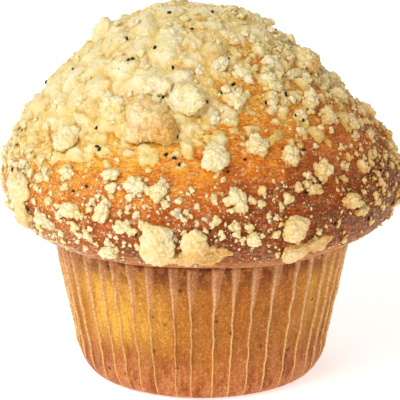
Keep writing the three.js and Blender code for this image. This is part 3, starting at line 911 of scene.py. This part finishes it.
def streusel_share(azimuth, polar):
    """The chance of a crumb: certain over the crown, then higher at the right and low on the left."""
    crown = 1 - smooth(38, 58, polar)
    right = 0.5 + 0.5 * np.cos(np.radians(azimuth - 100))
    lip = smooth(72, 84, polar)
    return max(float(crown), 0.1 + 0.3 * float(right) + 0.3 * float(lip) * (1 - float(right)))


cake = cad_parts["muffin_cake"]
cake_surface = surface_of(cake.data)


def is_clear(point, size, others):
    return all((other - point).length > (size + other_size) * 0.5 for other, other_size in others)


# The placed crumbs come first and then the rest by size; each is kept where it clears the ones before it.
crumbs = []
candidates = []
for i, (azimuth, polar, size) in enumerate(PLACED_CRUMBS):
    candidates.append((size + 10, size, CRUMB_SITES + i, azimuth, polar))
for i in range(CRUMB_SITES):
    polar = even_polar(i, CRUMB_SITES, CRUMB_LOWEST)
    azimuth = i * GOLDEN_ANGLE + math.degrees((draw(i, 5) - 0.5) * 0.2)
    shrink = 1 - CRUMB_LIP_SHRINK * float(smooth(60, 80, polar))
    size = shrink * (CRUMB_SMALLEST + (CRUMB_LARGEST - CRUMB_SMALLEST) * draw(i, 6) ** 2)
    if draw(i, 7) < streusel_share(azimuth, polar):
        candidates.append((size, size, i, azimuth, polar))
for _, size, item, azimuth, polar in sorted(candidates, reverse=True):
    site = site_on(azimuth, polar, [crust_surface])
    proud = (site_on(azimuth, polar, [cake_surface])[0] - site[0]).dot(site[3])
    if proud > size * 0.25 and is_clear(site[0], size, [(kept[1][0], kept[2]) for kept in crumbs]):
        crumbs.append((item, site, size))


def crumb_places(chosen):
    places = []
    for item, site, size in chosen:
        stretch = 0.8 + 0.5 * draw(item, 8)
        sizes = (size * stretch, size / stretch, size * CRUMB_HEIGHT * 1.1)
        basis = frame_of(site, sizes, draw(item, 9) * math.pi)
        centre = np.array(site[0] + site[3] * size * CRUMB_PROUD)
        places.append((item % CRUMB_SHAPES, basis, centre, 0.25 * draw(item, 11)))
    return places


shapes = [crumb_shape(number, 5, 11) for number in range(CRUMB_SHAPES)]
places = crumb_places([crumb for crumb in crumbs if crumb[2] > LARGE_CRUMB])
strewn("streusel_large_crumbs", shapes, places, streusel)
shapes = [crumb_shape(number + CRUMB_SHAPES, 4, 8) for number in range(CRUMB_SHAPES)]
places = crumb_places([crumb for crumb in crumbs if crumb[2] <= LARGE_CRUMB])
strewn("streusel_crumbs", shapes, places, streusel)
top_surfaces = [crust_surface, bed_surface]


def strewing_density(azimuth, polar):
    """The chance that a small crumb lies there; from 1 up, one always does."""
    azimuth = (azimuth + 180) % 360 - 180
    crown = 1 - smooth(44, 62, polar)
    right = (0.5 + 0.5 * math.cos(math.radians(azimuth - 92))) ** 6
    low = float(smooth(62, 74, polar)) * (1 - 0.6 * float(smooth(88, 94, polar)))
    left = (0.5 + 0.5 * math.cos(math.radians(azimuth + 50))) ** 2
    thick = max((0.12 + 0.32 * right) * float(crown), 0.08 + 0.56 * right, low * (0.12 + 0.95 * left))
    turned, down = math.radians(azimuth), math.radians(polar)
    level = math.sin(down)
    spot = Vector((math.sin(turned) * level, math.cos(turned) * level, math.cos(down)))
    patch = noise.noise(spot * 6.5)
    thick *= 0.55 + 1.5 * max(0, 0.5 + patch - 0.25)
    return thick * (1 - 0.93 * float(quiet_shoulder(azimuth, polar)))


def strew(count, smallest, largest, lowest, channel):
    """Places for small crumbs by rule: sites spread evenly over the cap, kept by the density there."""
    found = []
    for i in range(count):
        item = 20000 * channel + i
        polar = even_polar(i, count, lowest)
        azimuth = i * GOLDEN_ANGLE + (draw(item, 0) - 0.5) * 9
        polar += (draw(item, 1) - 0.5) * 3
        if draw(item, 2) > strewing_density(azimuth, max(0.5, polar)):
            continue
        site = site_on(azimuth, max(0.5, polar), top_surfaces)
        size = lerp(smallest, largest, draw(item, 3) ** 2.2)
        size_across = size * (0.8 + 0.45 * draw(item, 4))
        basis = frame_of(site, (size_across, size, size * SMALL_FLATNESS), draw(item, 5) * math.pi)
        centre = np.array(site[0] + site[3] * size * 0.14)
        toasted = 0.9 * max(0, draw(item, 7) - 0.25) * float(granular_share(azimuth, polar))
        found.append((item % SMALL_SHAPES, basis, centre, 0.05 + 0.25 * draw(item, 6) + toasted))
    return found


for name, count, smallest, largest, lowest, divisions, balls in (
    ("streusel_small_crumbs", 1500, 1.5, 2.9, 90, 3, 6),
    ("streusel_bits", 4200, 0.8, 1.6, 92, 2, 4),
    ("streusel_dust", 14000, 0.35, 0.8, 94, 1, 2),
):
    shapes = [crumb_shape(count + number, divisions, balls) for number in range(SMALL_SHAPES)]
    places = strew(count, smallest, largest, lowest, divisions)
    strewn(name, shapes, places, streusel)


# The poppy seeds
# Seeds from the batter that lie in the crust and between the crumbs: near black with a fine grey-brown net
# of ridges, kidney-shaped and about a millimetre long.
SEED_LENGTH = 0.95
SEED_NET = 0.16
SEED_SITES = 150
SEED_LOWEST = 88
FRONT_SEEDS = [
    (-40, 32), (-41, 33), (-57, 26), (-30, 27), (-16, 32), (-76, 42), (-40, 55), (2, 43), (-9, 54),
    (50, 24), (29, 6), (17, 27), (16, 36), (41, 42), (63, 41), (62, 55), (42, 52), (-35, 61), (-12, 60),
    (-9, 61), (-7, 63), (-35, 72), (-39, 74), (-18, 83), (8, 65), (37, 71), (36, 61), (2, 81), (39, 83),
    (54, 85), (66, 74),
]

bpy.ops.object.select_all(action="DESELECT")
bpy.ops.mesh.primitive_ico_sphere_add(subdivisions=2, radius=0.5)
seed = bpy.context.object
points = read_points(seed.data, 1)
dent = 0.16 * np.exp(-((points[:, 0] / 0.2) ** 2)) * (points[:, 1] > 0)
points = points * np.array([1.0, 0.74, 0.66])
points[:, 1] -= dent
seed_shape = (points, triangles_of(seed.data), np.ones(len(points)))
bpy.data.objects.remove(seed)
seed_sites = list(FRONT_SEEDS)
for i in range(SEED_SITES):
    seed_sites.append((i * GOLDEN_ANGLE + 40 * draw(i, 12), even_polar(i, SEED_SITES, SEED_LOWEST)))
places = []
for i, (azimuth, polar) in enumerate(seed_sites):
    wrapped = (azimuth + 180) % 360 - 180
    if i >= len(FRONT_SEEDS) and (draw(i, 13) > 0.62 or (abs(wrapped) < 70 and draw(i, 14) > 0.3)):
        continue
    site = site_on(azimuth, polar, top_surfaces)
    size = SEED_LENGTH * (0.82 + 0.3 * draw(i, 15))
    tilt = Matrix.Rotation((draw(i, 10) - 0.5) * 1.2, 3, "X")
    basis = frame_of(site, (1, 1, 1), draw(i, 11) * math.pi) @ np.array(tilt) * size
    places.append((0, basis, np.array(site[0] + site[3] * size * 0.16), 0.0))

seed_skin, tree, shader = new_material("poppy_seed_skin")
where = object_place(tree)
net_inputs = {"Vector": where, "Scale": 1 / (SEED_NET * MM)}
net = add(tree, "ShaderNodeTexVoronoi", net_inputs, feature="DISTANCE_TO_EDGE").outputs[0]
near_black = blend(tree, ranged(tree, noise_at(tree, where, 1.4), 0.35, 0.7), tint("1C110C"), tint("3A2A22"))
netted = blend(tree, ranged(tree, net, 0.0, 0.12, 0.35, 0.0), near_black, tint("6B6260"))
tree.links.new(netted, shader.inputs["Base Color"])
shader.inputs["Roughness"].default_value = 0.6
shader.inputs["Specular IOR Level"].default_value = 0.16
bumped(tree, shader, ranged(tree, net, 0.0, 0.15), 0.03)
strewn("poppy_seeds", [seed_shape], places, seed_skin)


# The floor, the light and the camera
# A plain pale sweep, a large soft light at the upper left with a small one beside it, weaker ones at the
# right and behind, and a long lens half a metre away that stands 17.7 degrees above the muffin's middle.
CAMERA_AWAY = 0.52
CAMERA_RISE = math.radians(17.7)
MUFFIN_MIDDLE = 0.0312
AIM = (-0.00041, 0, 0.03605)
bpy.ops.object.select_all(action="DESELECT")
bpy.ops.mesh.primitive_plane_add(size=6, location=(0, 0, -0.0002))
floor = bpy.context.object
floor.name = "pale_floor"
floor_finish, tree, shader = new_material("pale_floor")
shader.inputs["Base Color"].default_value = (0.9, 0.9, 0.9, 1)
shader.inputs["Roughness"].default_value = 0.9
shader.inputs["Emission Color"].default_value = (1, 1, 1, 1)
shader.inputs["Emission Strength"].default_value = 0.6
floor.data.materials.append(floor_finish)

for name, place, size, power, warmth in (
    ("key", (-0.56, -0.66, 0.76), 0.6, 7.9, (1.0, 0.98, 0.95)),
    ("side", (-0.95, -0.29, 0.5), 0.3, 1.1, (1.0, 0.98, 0.95)),
    ("fill", (0.8, -0.9, 0.35), 0.9, 2.5, (1.0, 0.94, 0.86)),
    ("back", (-0.2, 0.9, 0.8), 0.9, 3, (1.0, 1.0, 1.0)),
):
    light = bpy.data.lights.new(name, "AREA")
    light.shape = "DISK"
    light.size = size
    light.energy = power
    light.color = warmth
    lamp = bpy.data.objects.new(name, light)
    lamp.location = place
    lamp.rotation_euler = (Vector((0, 0, 0.04)) - Vector(place)).to_track_quat("-Z", "Y").to_euler()
    bpy.context.scene.collection.objects.link(lamp)

world = bpy.data.worlds.new("studio")
world.use_nodes = True
world.node_tree.nodes["Background"].inputs[0].default_value = (1, 0.97, 0.92, 1)
world.node_tree.nodes["Background"].inputs[1].default_value = 0.3
bpy.context.scene.world = world
bpy.context.scene.view_settings.view_transform = "Standard"

lens = bpy.data.cameras.new("camera")
lens.lens = 217.6
lens.sensor_width = 36
lens.clip_start = 0.01
lens.clip_end = 20
camera = bpy.data.objects.new("camera", lens)
level, high = CAMERA_AWAY * math.cos(CAMERA_RISE), CAMERA_AWAY * math.sin(CAMERA_RISE)
camera.location = (0, -level, MUFFIN_MIDDLE + high)
camera.rotation_euler = (Vector(AIM) - camera.location).to_track_quat("-Z", "Y").to_euler()
bpy.context.scene.collection.objects.link(camera)
bpy.context.scene.camera = camera

bpy.context.view_layer.update()
